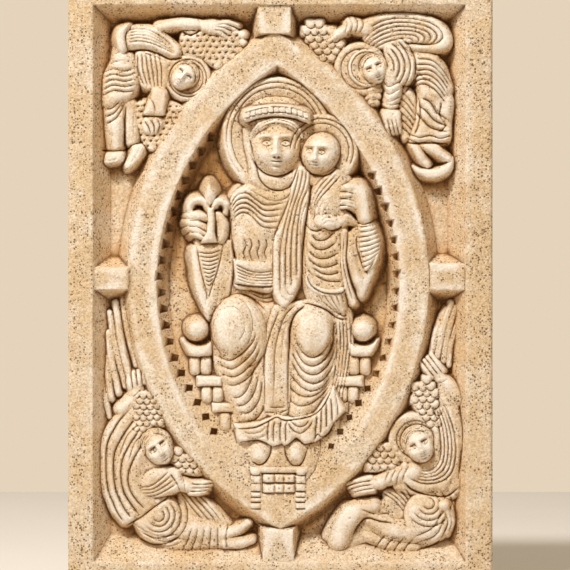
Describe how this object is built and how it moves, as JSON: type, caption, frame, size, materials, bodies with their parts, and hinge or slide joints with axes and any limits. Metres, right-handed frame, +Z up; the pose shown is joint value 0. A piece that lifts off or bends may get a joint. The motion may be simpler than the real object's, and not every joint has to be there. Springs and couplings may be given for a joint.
{
  "type": "wall relief plaque",
  "caption": "Upright cast stone wall plaque in deep relief: a seated mother and child in a pointed oval frame, angels in the corners of a bevelled border.",
  "frame": {"origin": "centre of the flat back face, which rests on the wall", "axes": "+Z up, +X to the viewer's right, the carved front faces -Y, and +Y points into the wall"},
  "size_m": [0.42, 0.0684, 0.6],
  "materials": {
    "cast_stone": null
  },
  "bodies": {
    "root": {"relief_plaque": "cast_stone"}
  },
  "joints": []
}
